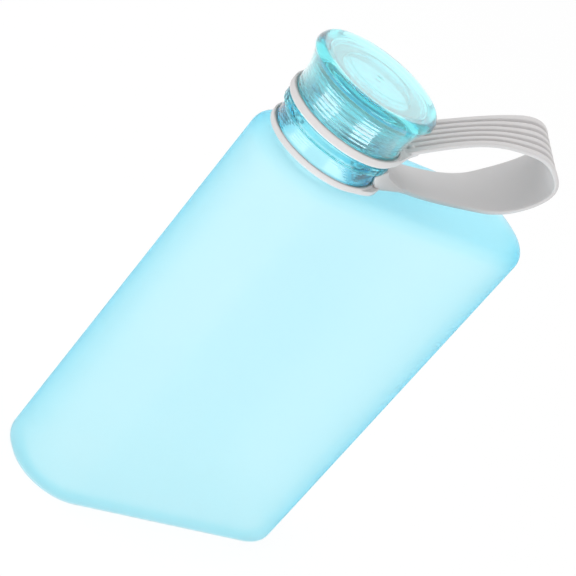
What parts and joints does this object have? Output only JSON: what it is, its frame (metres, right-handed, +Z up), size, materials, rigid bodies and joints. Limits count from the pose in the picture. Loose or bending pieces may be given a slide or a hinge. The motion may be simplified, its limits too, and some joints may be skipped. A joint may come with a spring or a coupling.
{
  "type": "flat water bottle",
  "caption": "Flat frosted water bottle with a clear screw cap and a ribbed silicone carry strap.",
  "frame": {"origin": "middle of the flat base, on the plane that the bottle stands on", "axes": "+Z up along the bottle; the broad faces look along -Y and +Y; the neck stands near the -X end and the strap loops towards +X"},
  "size_m": [0.1166, 0.0462, 0.1903],
  "materials": {
    "frosted_body": "frosted translucent light cyan copolyester",
    "clear_neck": "polished clear light blue copolyester",
    "frosted_base": "frosted translucent light cyan copolyester",
    "clear_cap": "polished clear turquoise plastic",
    "clear_insert": "polished clear turquoise plastic",
    "gasket_silicone": "satin translucent white silicone",
    "strap_silicone": "matt light grey silicone"
  },
  "bodies": {
    "bottle": {"bottle_body": "frosted_body", "base_plate": "frosted_base"},
    "cap_seal": {"cap_gasket": "gasket_silicone"},
    "cap": {"cap_shell": "clear_cap", "cap_insert": "clear_insert"},
    "strap_lower": {"strap_bottom_ring": "strap_silicone", "strap_band_lower": "strap_silicone"},
    "strap_upper": {"strap_top_ring": "strap_silicone", "strap_band_upper": "strap_silicone"}
  },
  "joints": [
    {"name": "cap_lift", "type": "slide", "parent": "bottle", "child": "cap_seal", "axis": [0, 0, 1], "range_m": [0, 0.0196]},
    {"name": "cap_turn", "type": "hinge", "parent": "cap_seal", "child": "cap", "pos_m": [-0.03525, 0, 0.1705], "axis": [0, 0, 1], "range_deg": [0, 1170]},
    {"name": "strap_swivel", "type": "hinge", "parent": "bottle", "child": "strap_lower", "pos_m": [-0.03525, 0, 0.1546], "axis": [0, 0, 1], "continuous": true},
    {"name": "strap_stretch", "type": "slide", "parent": "strap_lower", "child": "strap_upper", "axis": [0, 0, 1], "range_m": [0, 0.0196]}
  ],
  "couplings": [
    {"joint": "cap_lift", "follows": "cap_turn", "m_per_rad": 0.00095493},
    {"joint": "strap_stretch", "follows": "cap_turn", "m_per_rad": 0.00095493}
  ]
}
